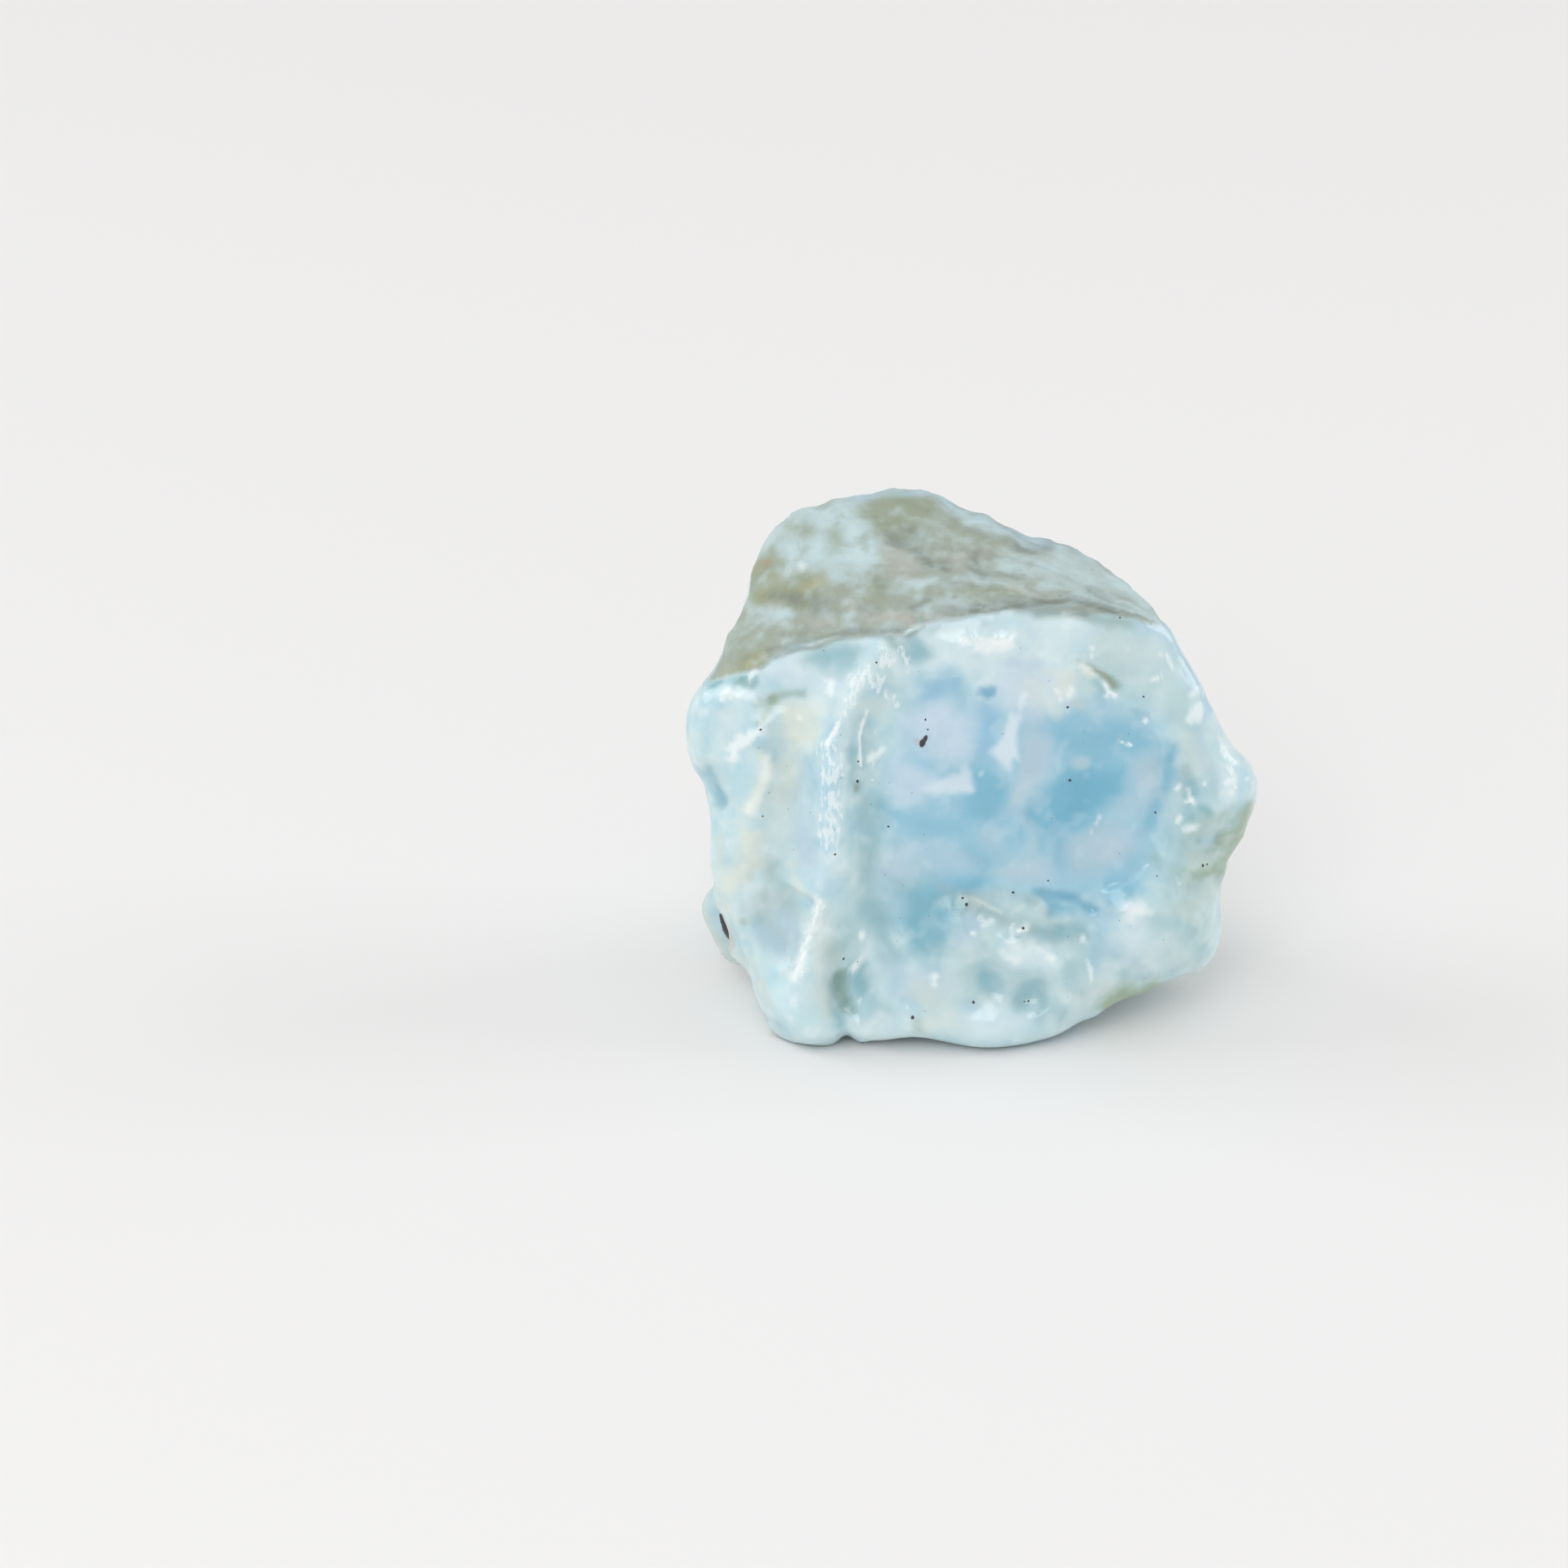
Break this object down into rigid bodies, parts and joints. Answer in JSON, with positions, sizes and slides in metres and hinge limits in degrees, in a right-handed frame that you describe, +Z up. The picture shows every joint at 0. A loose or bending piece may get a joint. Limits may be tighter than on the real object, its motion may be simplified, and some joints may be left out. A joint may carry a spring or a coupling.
{
  "type": "raw larimar stone",
  "caption": "Raw larimar nugget of pale to deep blue pectolite, with a glossy broken front, a matte olive-grey seam face on top and feet underneath to rest on.",
  "frame": {"origin": "on the surface that the stone rests on, below the middle of its bounding box", "axes": "+Z up. -Y is the way the broad glossy face looks, and +X is to the right of someone who looks at that face."},
  "size_m": [0.03, 0.0178, 0.0257],
  "materials": {
    "larimar": "glossy where it broke, matte on the seam face"
  },
  "bodies": {
    "root": {"larimar_stone": "larimar"}
  },
  "joints": []
}
